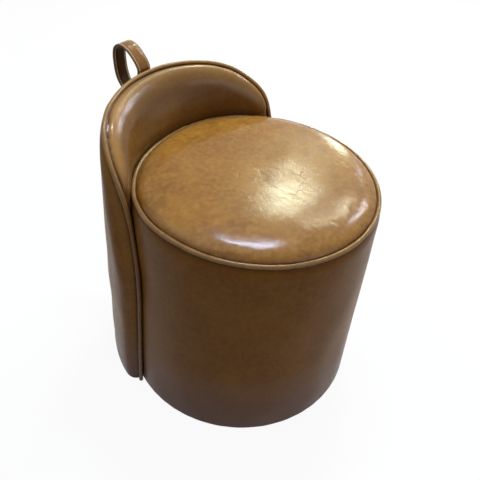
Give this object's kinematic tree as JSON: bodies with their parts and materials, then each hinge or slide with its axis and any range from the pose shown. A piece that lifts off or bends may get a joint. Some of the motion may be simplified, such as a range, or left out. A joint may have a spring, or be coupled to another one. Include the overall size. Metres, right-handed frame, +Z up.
{
  "type": "stool",
  "caption": "Low round padded leather stool with a wrap-round back, piped edges and a leather pull loop behind the back.",
  "frame": {"origin": "middle of the whole object's footprint, on the floor", "axes": "+Z up, +Y to the back, where the pull loop is, and X to the sides; the front of the seat faces -Y"},
  "size_m": [0.439, 0.5464, 0.5596],
  "materials": {
    "cognac_leather": "glossy waxed leather, mottled and lightly creased",
    "piping_leather": "glossy leather over a cord",
    "strap_leather": "glossy leather, stitched along both edges",
    "lining_leather": "plain dark leather",
    "plywood": "raw plywood",
    "softwood": "planed softwood",
    "hardboard": "raw thin board",
    "foam": "cut foam",
    "wadding": "soft wadding",
    "cotton_cord": "twisted cotton",
    "black_cloth": "matt non-woven cloth",
    "black_plastic": "matt",
    "zinc_steel": "zinc plated",
    "dark_brass": "darkened brass"
  },
  "bodies": {
    "stool": {"back_bolts": "zinc_steel", "back_former": "plywood", "back_inner_cover": "cognac_leather", "back_inner_pad": "foam", "back_outer_cover": "cognac_leather", "back_outer_pad": "foam", "back_piping": "piping_leather", "back_piping_cord": "cotton_cord", "base_board": "plywood", "bolt_bushes": "zinc_steel", "bolt_washers": "zinc_steel", "bracket_screws": "dark_brass", "drum_cover": "cognac_leather", "drum_foam": "foam", "drum_shell": "hardboard", "dust_cover": "black_cloth", "frame_screws": "zinc_steel", "glide_nails": "zinc_steel", "glides": "black_plastic", "hem_staples": "zinc_steel", "seat_cover": "cognac_leather", "seat_foam": "foam", "seat_piping": "piping_leather", "seat_piping_cord": "cotton_cord", "seat_wadding": "wadding", "shell_pins": "zinc_steel", "strap_block": "plywood", "strap_bracket": "dark_brass", "tee_nuts": "zinc_steel", "top_board": "plywood", "uprights": "softwood"},
    "strap": {"strap_leather": "strap_leather", "strap_lining": "lining_leather"}
  },
  "joints": [
    {"name": "loop_swing", "type": "hinge", "parent": "stool", "child": "strap", "pos_m": [0, 0.22186, 0.45], "axis": [1, 0, 0], "range_deg": [-115, 0]}
  ]
}
